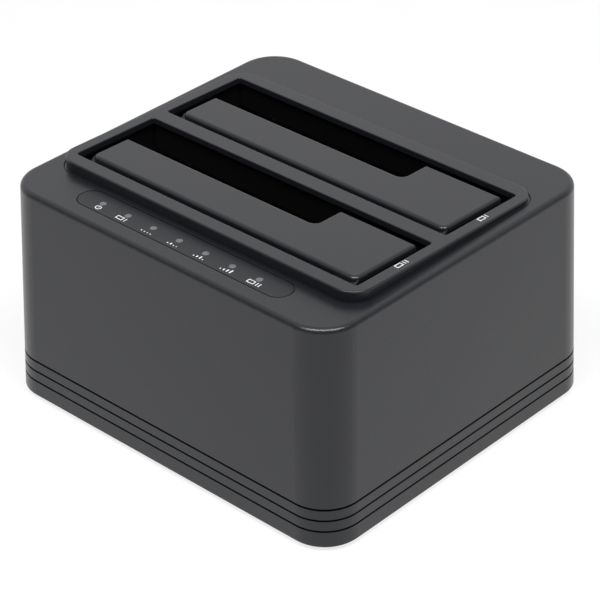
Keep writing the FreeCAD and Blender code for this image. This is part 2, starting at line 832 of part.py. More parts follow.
def top_bezel():
    body = new_body("top_bezel")
    x = s.bezel_width / 2
    plate = sketch(body, "XY_Plane", seat_z)
    rounded(plate, -x, x, -s.bezel_front, s.bezel_back, s.bezel_radius)
    pad(body, plate, s.bezel_seat + s.bezel_rise_front)
    # Sloping top, higher at the front
    wedge = sketch(body, "YZ_Plane", 0)
    high = bezel_top(-s.bezel_front) + s.bezel_seat
    polygon(wedge, [(-s.bezel_front, bezel_top(-s.bezel_front)), (s.bezel_back, bezel_top(s.bezel_back)),
                    (s.bezel_back, high), (-s.bezel_front, high)])
    pocket(body, wedge, s.bezel_width * 2, both=True)
    low = number(top_z)
    over = number(top_z + s.bezel_edge_radius)
    round_edges(body, s.bezel_edge_radius,
                lambda edge: edge.BoundBox.ZMin > low and edge.BoundBox.ZMax > over)
    # Thin foot round the base, and the collars that pass into the housing
    foot = sketch(body, "XY_Plane", seat_z)
    x = x + s.bezel_foot
    rounded(foot, -x, x, -(s.bezel_front + s.bezel_foot), s.bezel_back + s.bezel_foot,
            s.bezel_radius + s.bezel_foot)
    pad(body, foot, s.bezel_foot_height)
    for bay in (0, 1):
        collar = sketch(body, "XY_Plane", collar_z)
        reach = s.lip_overhang + s.collar_wall
        rectangle(collar, -outer_half, outer_half, bay_front(bay) - reach, bay_back(bay) + reach)
        pad(body, collar, s.collar_depth + s.bezel_foot_height)
    for bay in (0, 1):
        under = sketch(body, "XY_Plane", bezel_top(bay_back(bay)) - s.lip_thickness)
        rectangle(under, -inner_half, inner_half,
                  bay_front(bay) - s.lip_overhang, bay_back(bay) + s.lip_overhang)
        pocket(body, under)
        opening = sketch(body, "XY_Plane", top_z + s.bezel_rise_front * 2)
        rounded(opening, -bay_half, bay_half, bay_front(bay), bay_back(bay), s.bay_corner_radius)
        pocket(body, opening)
    lip_lines = [number(line(bay)) for bay in (0, 1) for line in (bay_front, bay_back)]
    lowest = number(bezel_top(s.bezel_back) - s.bezel_edge_radius)
    shortest = number(s.bay_width - 2 * s.bay_corner_radius) - 1

    def on_lip(edge):
        bounds = edge.BoundBox
        return (bounds.ZMin > lowest and bounds.XLength > shortest
                and any(edge_at(edge, y=line) for line in lip_lines))

    round_edges(body, s.lip_edge_radius, on_lip)
    # Blind holes for the hinge pins and the ledges that stop the flaps
    reach = (inner_half + s.hinge_pin_seat) * 2
    for bay in (0, 1):
        holes = sketch(body, "YZ_Plane", 0)
        circle(holes, hinge_y(bay), hinge_z(bay), s.hinge_pin_radius + s.fit_clearance)
        pocket(body, holes, reach, both=True)
        for side in (-1, 1):
            middle = (flap_half - s.knuckle_length / 2) * side
            ledge = sketch(body, "YZ_Plane", middle)
            wall_y = bay_front(bay) - s.lip_overhang
            z = hinge_z(bay) - s.heel_top - s.heel_thickness
            rectangle(ledge, wall_y - s.collar_wall / 2, wall_y + s.ledge_width, z - s.ledge_thickness, z)
            pad(body, ledge, s.heel_length, both=True)


def drive_cage():
    body = new_body("drive_cage")
    reach = s.lip_overhang + s.collar_wall
    bottom_z = s.cage_floor_z - s.cage_floor
    # How far ribs and ears run into the walls that carry them
    bite = s.collar_wall / 2
    block = sketch(body, "XY_Plane", bottom_z)
    rectangle(block, -outer_half, outer_half, bay_front(0) - reach, bay_back(1) + reach)
    pad(body, block, collar_z - bottom_z)
    for bay in (0, 1):
        front = bay_front(bay) - s.lip_overhang
        back = bay_back(bay) + s.lip_overhang
        well = sketch(body, "XY_Plane", collar_z)
        rectangle(well, -inner_half, inner_half, front, back)
        pocket(body, well, collar_z - s.cage_floor_z)
        # Ribs that guide a drive: two each side, three behind, three low ones in front
        side_x = s.drive_width / 2 + s.drive_clearance
        ribs = sketch(body, "XY_Plane", s.cage_floor_z)
        for side in (-1, 1):
            for along in SIDE_RIBS:
                y = bay_centre(bay) + s.bay_depth * along
                rectangle(ribs, side_x * side, (inner_half + bite) * side, y, y + s.rib_thickness)
        for across in BACK_RIBS:
            x = side_x * across
            rectangle(ribs, x, x + s.rib_thickness, back - s.back_rib, back + bite)
        pad(body, ribs, collar_z - s.cage_floor_z)
        low_ribs = sketch(body, "XY_Plane", s.cage_floor_z)
        for across in FRONT_RIBS:
            x = side_x * across
            rectangle(low_ribs, x, x + s.rib_thickness, front - bite,
                      back - s.back_rib - s.drive_space)
        pad(body, low_ribs, s.front_rib_height)
        # Shallower ribs above them, on which an open flap comes to rest
        stop_ribs = sketch(body, "XY_Plane", s.cage_floor_z)
        for across in FRONT_RIBS:
            x = side_x * across
            rectangle(stop_ribs, x, x + s.rib_thickness, front - bite,
                      hinge_y(bay) + s.hinge_depth - s.flap_sink - s.flap_thickness - s.flap_rest_gap)
        pad(body, stop_ribs, collar_z - s.cage_floor_z)
        slot = sketch(body, "XY_Plane", s.cage_floor_z)
        half = s.socket_length / 2 + s.socket_clearance
        deep = s.socket_depth / 2 + s.socket_clearance
        rectangle(slot, s.socket_x - half, s.socket_x + half, socket_y(bay) - deep, socket_y(bay) + deep)
        pocket(body, slot)
    ears = sketch(body, "XY_Plane", collar_z)
    for y, edge in zip(ear_rows(), (bay_front(0) - reach + bite, bay_back(1) + reach - bite)):
        for side in (-1, 1):
            x = s.ear_x * side
            rectangle(ears, x - s.ear_radius, x + s.ear_radius, y * 2 - edge, edge)
    pad(body, ears, s.ear_thickness, reverse=True)
    holes = sketch(body, "XY_Plane", collar_z)
    for y in ear_rows():
        for side in (-1, 1):
            circle(holes, s.ear_x * side, y, s.small_hole_radius)
    pocket(body, holes, s.ear_thickness * 2)


def socket_y(bay):
    return bay_back(bay) + s.lip_overhang - s.back_rib - s.socket_back_offset


# Flaps

def flap(label, bay):
    """A flap in its own frame: the hinge axis is X, and the plate lies above it and behind it."""
    body = new_body(label)
    place(body, 0, hinge_y(bay), hinge_z(bay), tilt=bezel_tilt)
    top = s.hinge_depth - s.flap_sink
    under = top - s.flap_thickness
    front = s.hinge_ahead
    back = front + s.bay_depth - s.flap_gap_front - s.flap_gap_back
    notch = back - s.notch_depth
    finger = flap_half - s.finger_width
    plate = sketch(body, "XY_Plane", under)
    polygon(plate, [(-flap_half, front), (flap_half, front), (flap_half, back), (finger, back),
                    (finger, notch), (-flap_half, notch)])
    pad(body, plate, s.flap_thickness)

    def upright(edge, x, y):
        return edge_at(edge, x=x, y=y) and edge.BoundBox.ZLength > number(s.flap_thickness) / 2

    round_edges(body, s.notch_radius, lambda edge: upright(edge, finger, notch))
    round_edges(body, s.flap_corner_radius, lambda edge: upright(edge, -flap_half, front)
                or upright(edge, flap_half, front))
    round_edges(body, s.flap_back_radius, lambda edge: upright(edge, finger, back)
                or upright(edge, flap_half, back) or upright(edge, -flap_half, notch))
    round_edges(body, s.flap_edge_radius, lambda edge: edge_at(edge, y=front, z=top))
    knuckle_x = flap_half - s.knuckle_length / 2
    for side in (-1, 1):
        knuckle = sketch(body, "YZ_Plane", knuckle_x * side)
        circle(knuckle, 0, 0, s.knuckle_radius)
        pad(body, knuckle, s.knuckle_length, both=True)
        web = sketch(body, "YZ_Plane", knuckle_x * side)
        root = under + s.flap_thickness / 2
        polygon(web, [(0, 0), (s.knuckle_web, under / 2), (s.knuckle_web, root),
                      (front + s.flap_edge_radius, root), (front, under), (0, under)])
        pad(body, web, s.knuckle_length, both=True)
        heel = sketch(body, "YZ_Plane", knuckle_x * side)
        low = s.heel_top + s.heel_thickness
        polygon(heel, [(-s.heel_reach, -s.heel_top), (s.heel_taper - s.heel_reach, -low),
                       (0, -low), (0, -s.heel_top)])
        pad(body, heel, s.heel_length, both=True)
    hole = sketch(body, "YZ_Plane", 0)
    circle(hole, 0, 0, s.hinge_pin_radius + s.fit_clearance)
    pocket(body, hole, s.body_width * 2, both=True)


def hinge_pins(label, bay):
    length = inner_half + s.hinge_pin_seat - flap_half + s.hinge_pin_inboard - 2 * s.fit_clearance
    pins = []
    for side in (-1, 1):
        pin = doc.addObject("Part::Cylinder", "Pin")
        bind(pin, "Radius", s.hinge_pin_radius)
        bind(pin, "Height", length)
        pin.Placement = FreeCAD.Placement(V(0, 0, 0), FreeCAD.Rotation(V(0, side, 0), 90))
        place(pin, (flap_half - s.hinge_pin_inboard) * side, hinge_y(bay), hinge_z(bay))
        pins.append(pin)
    group(label, pins)


def coil_spring(label, bay, side):
    """A torsion spring round a hinge pin, between the flap's end and the collar."""
    body = new_body(label)
    outward = FreeCAD.Rotation(UP, V(0, -side, 0), V(side, 0, 0), "ZXY")
    body.Placement = FreeCAD.Placement(V(0, 0, 0), outward)
    coil_length = s.coil_pitch * s.coil_turns
    gap = inner_half - flap_half
    start = (gap - coil_length) / 2
    place(body, (flap_half + start) * side, hinge_y(bay), hinge_z(bay))
    wire = sketch(body, "XZ_Plane", 0)
    circle(wire, s.coil_radius, 0, s.coil_wire / 2)
    coil = body.newObject("PartDesign::AdditiveHelix", "Coil")
    coil.Profile = wire
    coil.ReferenceAxis = (wire, ["V_Axis"])
    coil.Mode = "pitch-turns-angle"
    bind(coil, "Pitch", s.coil_pitch)
    bind(coil, "Turns", s.coil_turns)
    inner_leg = sketch(body, "XY_Plane", s.coil_leg_gap - start)
    circle(inner_leg, s.coil_radius, 0, s.coil_wire / 2)
    pad(body, inner_leg, start - s.coil_leg_gap)
    outer_leg = sketch(body, "XY_Plane", coil_length)
    circle(outer_leg, -s.coil_radius, 0, s.coil_wire / 2)
    pad(body, outer_leg, start - s.coil_leg_gap)


# Row of lights

def light_row(body, z, radius):
    drawing = sketch(body, "XY_Plane", z)
    circle(drawing, s.first_light_x, s.strip_y, radius)
    return drawing


def lights():
    strip = new_body("indicator_strip")
    outline = sketch(strip, "XY_Plane", top_z - s.strip_thickness)
    stadium(outline, -s.strip_length / 2, s.strip_length / 2, s.strip_y, s.strip_width / 2)
    pad(strip, outline, s.strip_thickness)
    holes = pocket(strip, light_row(strip, top_z, s.light_radius + s.light_clearance),
                   s.strip_thickness * 2)
    pattern(strip, holes, "X_Axis", s.light_pitch, s.light_count)
    pipes = new_body("light_pipes")
    bar = sketch(pipes, "XY_Plane", ceiling_z)
    x = s.light_shift - s.first_light_x + s.light_bar_width / 2
    y = s.light_bar_width / 2
    rectangle(bar, s.light_shift - x, s.light_shift + x, s.strip_y - y, s.strip_y + y)
    pad(pipes, bar, s.light_bar_thickness, reverse=True)
    pins = pad(pipes, light_row(pipes, top_z, s.light_radius), s.light_length, reverse=True)
    pattern(pipes, pins, "X_Axis", s.light_pitch, s.light_count)
    board = new_body("lamp_board")
    z = s.lamp_board_top - s.lamp_board_thickness
    outline = sketch(board, "XY_Plane", z)
    half = s.lamp_board_length / 2
    rectangle(outline, -half, half, s.strip_y - s.lamp_board_width / 2, s.strip_y + s.lamp_board_width / 2)
    for side in (-1, 1):
        circle(outline, s.lamp_boss_x * side, s.strip_y, s.small_hole_radius)
    pad(board, outline, s.lamp_board_thickness)
    group("lamps", [centred_box(s.first_light_x + s.light_pitch * step, s.strip_y, s.lamp_board_top,
                                s.lamp_size, s.lamp_size, s.lamp_height)
                    for step in range(int(number(s.light_count)))])


def lamp_ribbon():
    """Flat cable from a header under the lamp board down to a header on the main board."""
    top = s.lamp_board_top - s.lamp_board_thickness
    deep = s.header_size
    header = s.ribbon_width + deep
    front_y = s.strip_y
    board_y = s.header_setback - s.board_front
    node(centred_box(0, front_y, top - deep, header, deep, deep), "lamp_header")
    node(centred_box(0, board_y, s.board_top, header, deep, deep), "board_header")
    body = new_body("lamp_ribbon")
    half = s.ribbon_thickness / 2
    side = sketch(body, "YZ_Plane", 0)
    high = top - deep
    low = s.board_top + deep
    bend = low + s.ribbon_bend
    polygon(side, [(front_y - half, high), (front_y - half, bend - half), (board_y - half, low + half),
                   (board_y - half, low), (board_y + half, low), (board_y + half, low + 2 * half),
                   (front_y + half, bend), (front_y + half, high)])
    pad(body, side, s.ribbon_width, both=True)


# Electronics

def main_board():
    body = new_body("main_board")
    outline = sketch(body, "XY_Plane", board_z)
    rounded(outline, -s.board_half_width, s.board_half_width, -s.board_front, s.board_back,
            s.small_head_radius)
    for across, along in wall_pairs:
        circle(outline, s.board_hole_x * across, s.board_hole_y * along, s.small_hole_radius)
    pad(body, outline, s.board_thickness)


def drive_socket(label, contact_label, bay):
    body = new_body(label)
    place(body, s.socket_x, socket_y(bay), s.board_top)
    outline = sketch(body, "XY_Plane", 0)
    half = s.socket_length / 2
    deep = s.socket_depth / 2
    rounded(outline, -half, half, -deep, deep, s.slot_wall / 2)
    pad(body, outline, s.socket_height)
    slots = sketch(body, "XY_Plane", s.socket_height)
    start = (s.power_slot + s.slot_wall + s.data_slot) / -2
    data = start + s.power_slot + s.slot_wall
    y = s.slot_width / 2
    for x, length in ((start, s.power_slot), (data, s.data_slot)):
        rectangle(slots, x, x + length, -y, y)
    pocket(body, slots, s.slot_depth)
    blades = []
    bottom = s.board_top + s.socket_height - s.slot_depth
    for x, length, count in ((start, s.power_slot, 15), (data, s.data_slot, 7)):
        middle = s.socket_x + x + length / 2
        for i in range(count):
            blades.append(centred_box(
                middle + s.contact_pitch * (i - (count - 1) / 2),
                socket_y(bay) + y - s.contact_thickness / 2, bottom,
                s.contact_width, s.contact_thickness, s.contact_height))
    group(contact_label, blades)


def chips():
    """Components that stand on the main board."""
    for name, *_ in COMPONENTS:
        part = [getattr(s, name + "_" + key) for key in COMPONENT_KEYS]
        x, y, length, width, height = part
        node(centred_box(x, y, s.board_top, length, width, height), name)
    group("inductors", [centred_box(s.inductor_x, s.inductor_y + s.inductor_pitch * step, s.board_top,
                                    s.inductor_size, s.inductor_size, s.inductor_height)
                        for step in (0, 1)])
    group("capacitors", [cylinder(x, y, s.board_top, s.capacitor_radius, s.capacitor_height)
                         for x, y in CAPACITORS])


def heat_sink():
    body = new_body("heat_sink")
    z = s.board_top + s.bridge_chip_height
    half = s.sink_size / 2
    left = s.bridge_chip_x - half
    front = s.bridge_chip_y - half
    base = sketch(body, "XY_Plane", z)
    rectangle(base, left, left + s.sink_size, front, front + s.sink_size)
    pad(body, base, s.sink_base)
    fin = sketch(body, "XY_Plane", z + s.sink_base)
    rectangle(fin, left, left + s.fin_thickness, front, front + s.sink_size)
    fins = pad(body, fin, s.fin_height)
    pattern(body, fins, "X_Axis", (s.sink_size - s.fin_thickness) / (s.fin_count - 1), s.fin_count)


# Rear panel

def mouth_y(z):
    """Where a socket's mouth lies, just inside the leaning rear wall."""
    return half_depth(z) - s.port_recess


def usb_port():
    body = new_body("usb_shell")
    mouth = mouth_y(s.board_top + s.usb_height)
    half = s.usb_width / 2
    high = s.board_top + s.usb_height
    outer = sketch(body, "XZ_Plane", -mouth)
    rectangle(outer, s.usb_x - half, s.usb_x + half, s.board_top, high)
    pad(body, outer, s.usb_length)
    inner = sketch(body, "XZ_Plane", -mouth)
    rectangle(inner, s.usb_x - half + s.usb_skin, s.usb_x + half - s.usb_skin,
              s.board_top + s.usb_skin, high - s.usb_skin)
    pocket(body, inner, s.usb_length - s.usb_skin, reverse=True)
    tongue = box(s.usb_x - s.usb_tongue_width / 2, mouth - s.usb_length + s.usb_skin,
                 s.board_top + s.usb_height / 2 - s.usb_tongue_height, s.usb_tongue_width,
                 s.usb_length - 2 * s.usb_skin - s.usb_tongue_setback, s.usb_tongue_height)
    node(tongue, "usb_tongue")


def power_jack():
    body = new_body("jack_body")
    z = s.board_top + s.jack_height / 2
    face = half_depth(top_z) - s.wall - s.port_gap
    nose_end = face + s.jack_nose_length
    half = s.jack_width / 2
    block = sketch(body, "XZ_Plane", -face)
    rectangle(block, s.jack_x - half, s.jack_x + half, s.board_top, s.board_top + s.jack_height)
    pad(body, block, s.jack_length)
    nose = sketch(body, "XZ_Plane", -face)
    circle(nose, s.jack_x, z, s.jack_nose_radius)
    pad(body, nose, nose_end - face, reverse=True)
    bore = sketch(body, "XZ_Plane", -nose_end)
    circle(bore, s.jack_x, z, s.jack_bore_radius)
    pocket(body, bore, s.jack_bore_depth, reverse=True)
    pin = new_body("jack_pin")
    rod = sketch(pin, "XZ_Plane", s.jack_bore_depth - nose_end)
    circle(rod, s.jack_x, z, s.jack_pin_radius)
    pad(pin, rod, s.jack_bore_depth - s.jack_pin_setback, reverse=True)


def clone_button():
    """A round button behind the rear wall, on a side-acting key switch."""
    face = half_depth(s.button_z)
    inside = face - s.wall - s.button_wall_gap
    flange_back = inside - s.button_flange_thickness
    stem_back = flange_back - s.button_travel
    body = new_body("clone_button")
    cap = sketch(body, "XZ_Plane", -flange_back)
    circle(cap, s.button_x, s.button_z, s.button_radius)
    pad(body, cap, face + s.button_proud - flange_back, reverse=True)
    round_edges(body, s.bezel_edge_radius, lambda edge: edge_at(edge, y=face + s.button_proud))
    flange = sketch(body, "XZ_Plane", -flange_back)
    circle(flange, s.button_x, s.button_z, s.button_radius + s.button_flange)
    pad(body, flange, s.button_flange_thickness, reverse=True)
    stem = sketch(body, "XZ_Plane", -flange_back)
    circle(stem, s.button_x, s.button_z, s.plunger_radius)
    pad(body, stem, s.button_travel + s.tact_depth / 2)
    tact = new_body("key_switch")
    half = s.tact_width / 2
    block = sketch(tact, "XZ_Plane", -stem_back)
    rectangle(block, s.button_x - half, s.button_x + half, s.board_top, s.board_top + s.tact_height)
    pad(tact, block, s.tact_depth)
    hole = sketch(tact, "XZ_Plane", -stem_back)
    circle(hole, s.button_x, s.button_z, s.plunger_radius + s.fit_clearance)
    pocket(tact, hole, s.tact_hole, reverse=True)


def power_switch():
    """A small rocker switch that snaps into the leaning rear wall."""
    wall_y = half_depth(s.rocker_z)
    body = new_body("switch_body")
    place(body, s.rocker_x, wall_y, s.rocker_z, tilt=-wall_tilt)
    wide = s.switch_width / 2
    tall = s.switch_height / 2
    block = sketch(body, "XZ_Plane", 0)
    rectangle(block, -wide, wide, -tall, tall)
    pad(body, block, s.switch_depth)
    flange = sketch(body, "XZ_Plane", 0)
    rounded(flange, -wide - s.switch_flange, wide + s.switch_flange,
            -tall - s.switch_flange, tall + s.switch_flange, s.switch_flange)
    pad(body, flange, s.switch_flange_thickness, reverse=True)
    well = sketch(body, "XZ_Plane", -s.switch_flange_thickness)
    x = s.rocker_width / 2 + s.rocker_gap
    z = s.rocker_height / 2 + s.rocker_gap
    rectangle(well, -x, x, -z, z)
    pocket(body, well, s.switch_well, reverse=True)
    rocker = new_body("power_rocker")
    place(rocker, s.rocker_x, wall_y, s.rocker_z, tilt=-(wall_tilt + s.rocker_angle))
    profile = sketch(rocker, "YZ_Plane", 0)
    half = s.rocker_height / 2
    tip = s.rocker_face + s.rocker_rise
    shoulder = s.rocker_face - s.rocker_depth / 2
    root = s.rocker_face - s.rocker_depth
    edge = half - s.rocker_taper
    polygon(profile, [(s.rocker_face, 0), (tip, edge), (shoulder, edge), (root, s.rocker_root),
                      (root, -s.rocker_root), (shoulder, -edge), (tip, -edge)])
    pad(rocker, profile, s.rocker_width, both=True)
    tabs = [centred_box(0, -s.switch_depth - s.tab_length / 2 - s.seam_clearance,
                        s.tab_pitch * step, s.tab_width, s.tab_length, s.tab_thickness)
            for step in (-1, 0, 1)]
    place(group("switch_tabs", tabs), s.rocker_x, wall_y, s.rocker_z, tilt=-wall_tilt)


def build():
    base_cover()
    upper_housing()
    rubber_feet()
    top_bezel()
    drive_cage()
    for bay, name in enumerate(("front", "rear")):
        flap("flap_" + name, bay)
        hinge_pins("hinge_pins_" + name, bay)
        for side, hand in ((-1, "left"), (1, "right")):
            coil_spring("flap_spring_%s_%s" % (name, hand), bay, side)
        drive_socket("drive_socket_" + name, "socket_contacts_" + name, bay)
    lights()
    lamp_ribbon()
    main_board()
    chips()
    heat_sink()
    usb_port()
    power_jack()
    clone_button()
    power_switch()
    screws()


def check():
    """Stops on a failed object or an empty or invalid sub-part."""
    doc.recompute()
    for thing in doc.Objects:
        if "Invalid" in thing.State or "Error" in thing.State:
            raise RuntimeError("failed object: %s %s" % (thing.Label, thing.State))
    for thing in NODES:
        if thing.Shape.isNull() or not thing.Shape.isValid() or not thing.Shape.Solids:
            raise RuntimeError("bad shape: " + thing.Label)


def export():
    os.makedirs("parts", exist_ok=True)
    for thing in NODES:
        thing.Shape.exportStep("parts/%s.step" % thing.Label)
        bounds = thing.Shape.BoundBox
        print("%-26s %2d solids %9.1f mm3  x %.1f..%.1f  y %.1f..%.1f  z %.1f..%.1f" % (
            thing.Label, len(thing.Shape.Solids), thing.Shape.Volume,
            bounds.XMin, bounds.XMax, bounds.YMin, bounds.YMax, bounds.ZMin, bounds.ZMax))


build()
check()
export()
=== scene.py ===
import json
import math

import bmesh
import bpy
from mathutils import Matrix, Vector

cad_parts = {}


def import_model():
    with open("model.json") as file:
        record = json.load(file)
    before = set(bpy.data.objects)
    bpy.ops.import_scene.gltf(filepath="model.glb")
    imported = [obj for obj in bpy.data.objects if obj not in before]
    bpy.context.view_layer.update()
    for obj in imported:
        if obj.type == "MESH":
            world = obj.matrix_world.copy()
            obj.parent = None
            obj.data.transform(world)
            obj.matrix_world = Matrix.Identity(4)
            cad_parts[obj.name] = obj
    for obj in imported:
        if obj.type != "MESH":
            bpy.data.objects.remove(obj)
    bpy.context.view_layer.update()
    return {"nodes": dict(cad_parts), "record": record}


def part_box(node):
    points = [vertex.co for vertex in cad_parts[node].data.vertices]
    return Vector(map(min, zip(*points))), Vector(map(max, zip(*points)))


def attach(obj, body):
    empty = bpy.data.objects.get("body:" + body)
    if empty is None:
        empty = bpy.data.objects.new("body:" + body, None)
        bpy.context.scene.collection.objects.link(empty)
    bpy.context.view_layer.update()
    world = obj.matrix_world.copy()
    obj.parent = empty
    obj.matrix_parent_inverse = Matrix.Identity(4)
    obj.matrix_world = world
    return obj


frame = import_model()

# Looks of the two-bay hard drive dock. Metres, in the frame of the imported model.

MM = 0.001
NODES = frame["nodes"]

# Colours and finish of the housing, bezel and flaps, of the bays' walls below the lip, where shade is
# painted near black, and of the strip
BODY_GREY = (0.0080, 0.0088, 0.0118)
BLACK = (0.002, 0.002, 0.0021)
BODY_FINISH = {"rough": 0.31, "specular": 0.45, "sheen": 0.05}
SHEEN_ROUGHNESS = 0.4
BAY_SHADE_ROUGHNESS = 0.15
STRIP_SPECULAR = 0.38

# The middle of a noise's values, over which colours and roughness change
NOISE_LOW = 0.3
NOISE_HIGH = 0.7

# The sloping bezel, in millimetres: its height and place at the front, the lip's thickness,
# and the outline of both bays
BEZEL_HIGH = 74.1
BEZEL_FRONT = 40.1
BEZEL_SLOPE = 2.15 / 78.2
LIP = 1.85
BAYS_HALF_WIDTH = 55.3
BAYS_HALF_DEPTH = 35.25
BAYS_MIDDLE = -1.15

# The row of lights, in millimetres, and how far from a light's middle its rim is painted dark, as painted
# shade where the pin meets its hole
FIRST_LIGHT = -31.68
LIGHT_PITCH = 10.16
LIGHTS_Y = -46.45
LIGHT_SHADE_RIM = (0.85, 1.15)

# Printed marks, in millimetres
PRINT_LIFT = 0.02
STROKE = 0.28
MARK_HEIGHT = 1.6
POWER_SIZE = MARK_HEIGHT * 1.3
STRIP_MARKS_Y = -48.75
BAY_MARKS_X = 55.6

# The direction along the floor from the viewed corner towards the backdrop, the cosines to it at which
# the backdrop begins and is full, and the strength of the dimmer room in front
BEHIND = (-0.682, 0.731, 0)
BACKDROP_BEGINS = -0.2
BACKDROP_FULL = 0.5
ROOM = 0.25

# The floor: half its width in metres, and its own share of light
FLOOR_HALF = 4.0
FLOOR_GLOW = 0.8

# The kinds of rays that show what a surface mirrors
MIRRORED = ("Is Glossy Ray", "Is Transmission Ray")

# The photograph's viewpoint: angles in degrees, lengths in millimetres, and the focal length and
# the picture's width in pixels
AZIMUTH = 43.00
ELEVATION = 32.52
ROLL = -0.74
DISTANCE = 753.1
AIM_RIGHT = 0.24
AIM_UP = 24.12
AIM_HEIGHT = 1.0
FOCAL_LENGTH = 2489.0
PICTURE_WIDTH = 600
SENSOR_WIDTH = 36.0


# Parts of a node tree

def new_material(name):
    """A material, its node tree and its shader."""
    material = bpy.data.materials.new(name)
    material.use_nodes = True
    tree = material.node_tree
    shader = tree.nodes["Principled BSDF"]
    return material, tree, shader


def add(tree, kind, **inputs):
    """A node with some of its inputs set by name."""
    node = tree.nodes.new(kind)
    for key, value in inputs.items():
        node.inputs[key.replace("_", " ")].default_value = value
    return node


def coordinates(tree, scale=(1, 1, 1)):
    """Object coordinates, in metres, times a scale."""
    source = tree.nodes.new("ShaderNodeTexCoord")
    mapping = add(tree, "ShaderNodeMapping", Scale=scale)
    tree.links.new(source.outputs["Object"], mapping.inputs["Vector"])
    return mapping.outputs["Vector"]


def axes(tree, vector):
    """The x, y and z of a vector."""
    node = tree.nodes.new("ShaderNodeSeparateXYZ")
    tree.links.new(vector, node.inputs[0])
    return node.outputs


def noise(tree, vector, scale, detail=2.0, rough=0.5):
    """The values of a noise, of so many spots to a metre."""
    node = add(tree, "ShaderNodeTexNoise", Scale=scale, Detail=detail, Roughness=rough)
    tree.links.new(vector, node.inputs["Vector"])
    return node.outputs["Fac"]


def ramp(tree, factor, low, high, high_at=NOISE_HIGH):
    """A ramp between two colours, over the middle of a noise's values."""
    node = tree.nodes.new("ShaderNodeValToRGB")
    first, last = node.color_ramp.elements
    first.position = NOISE_LOW
    last.position = high_at
    first.color = (*low, 1)
    last.color = (*high, 1)
    tree.links.new(factor, node.inputs["Fac"])
    return node.outputs["Color"]


def spread(tree, factor, low, high):
    """Maps the middle of a noise's values onto a range for a shader input."""
    node = add(tree, "ShaderNodeMapRange", From_Min=NOISE_LOW, From_Max=NOISE_HIGH, To_Min=low, To_Max=high)
    tree.links.new(factor, node.inputs["Value"])
    return node.outputs["Result"]


def blend(tree, factor, kind, first, second):
    """Mixes a linked value with a fixed one."""
    node = tree.nodes.new("ShaderNodeMix")
    node.data_type = kind
    first_input, second_input, output = {"FLOAT": (2, 3, 0), "RGBA": (6, 7, 2)}[kind]
    tree.links.new(factor, node.inputs[0])
    tree.links.new(first, node.inputs[first_input])
    node.inputs[second_input].default_value = second
    return node.outputs[output]


def maths(tree, operation, *values):
    """One step of arithmetic on linked values or numbers."""
    node = tree.nodes.new("ShaderNodeMath")
    node.operation = operation
    for socket, value in zip(node.inputs, values):
        if isinstance(value, (int, float)):
            socket.default_value = value
        else:
            tree.links.new(value, socket)
    return node.outputs[0]


def dress(tree, shader, colours, roughness, height, strength, depth):
    """Links a surface's colour, roughness and relief, whose depth is in millimetres."""
    relief = add(tree, "ShaderNodeBump", Strength=strength, Distance=depth * MM)
    tree.links.new(colours, shader.inputs["Base Color"])
    tree.links.new(roughness, shader.inputs["Roughness"])
    tree.links.new(height, relief.inputs["Height"])
    tree.links.new(relief.outputs["Normal"], shader.inputs["Normal"])


def grey(value):
    return (value, value, value)


def shade(colour, factor):
    """A colour made darker or lighter."""
    return tuple(min(1.0, c * factor) for c in colour)


# Places on the dock that a material follows

def painted_bay_shade(tree, vector):
    """1 on the walls of the bays below the lip of the sloping bezel, where shade is painted, and 0
    elsewhere.
    """
    x, y, z = axes(tree, vector)
    drop = maths(tree, "MULTIPLY", maths(tree, "ADD", y, BEZEL_FRONT * MM), BEZEL_SLOPE)
    lip = maths(tree, "SUBTRACT", (BEZEL_HIGH - LIP) * MM, drop)
    low = maths(tree, "LESS_THAN", z, lip)
    narrow = maths(tree, "LESS_THAN", maths(tree, "ABSOLUTE", x), BAYS_HALF_WIDTH * MM)
    from_middle = maths(tree, "ABSOLUTE", maths(tree, "SUBTRACT", y, BAYS_MIDDLE * MM))
    deep = maths(tree, "LESS_THAN", from_middle, BAYS_HALF_DEPTH * MM)
    return maths(tree, "MULTIPLY", low, maths(tree, "MULTIPLY", narrow, deep))


def from_light(tree, vector):
    """The distance from the middle of the nearest light, seen from above and in metres."""
    x, y, _ = axes(tree, vector)
    along = maths(tree, "SUBTRACT", x, FIRST_LIGHT * MM)
    along = maths(tree, "WRAP", along, LIGHT_PITCH / 2 * MM, -LIGHT_PITCH / 2 * MM)
    across = maths(tree, "SUBTRACT", y, LIGHTS_Y * MM)
    along_squared = maths(tree, "MULTIPLY", along, along)
    across_squared = maths(tree, "MULTIPLY", across, across)
    return maths(tree, "SQRT", maths(tree, "ADD", along_squared, across_squared))


# Materials

def moulded(name, colour, rough, grain=0.3, grain_depth=0.03, variation=0.05, specular=0.5, sheen=0.0,
            painted_shade=None):
    """Moulded plastic: an eroded grain a few tenths of a millimetre wide, and slight cloudiness.

    Where the given mask of the node tree is 1, the surface is smooth and painted nearly black, as painted
    shade.
    """
    material, tree, shader = new_material(name)
    vector = coordinates(tree)
    clouds = noise(tree, vector, scale=28.0, detail=3.0)
    colours = ramp(tree, clouds, shade(colour, 1 - variation), shade(colour, 1 + variation))
    fine = noise(tree, vector, scale=1 / (grain * MM), rough=0.6)
    roughness = spread(tree, fine, rough - 0.04, rough + 0.04)
    if painted_shade is not None:
        # Painted shade: where the mask is 1, the colour is painted near black and the surface made smooth.
        shade_mask = painted_shade(tree, vector)
        colours = blend(tree, shade_mask, "RGBA", colours, (*BLACK, 1))
        roughness = blend(tree, shade_mask, "FLOAT", roughness, BAY_SHADE_ROUGHNESS)
    dress(tree, shader, colours, roughness, fine, strength=0.35, depth=grain_depth)
    shader.inputs["Specular IOR Level"].default_value = specular
    shader.inputs["Sheen Weight"].default_value = sheen
    shader.inputs["Sheen Roughness"].default_value = SHEEN_ROUGHNESS
    return material


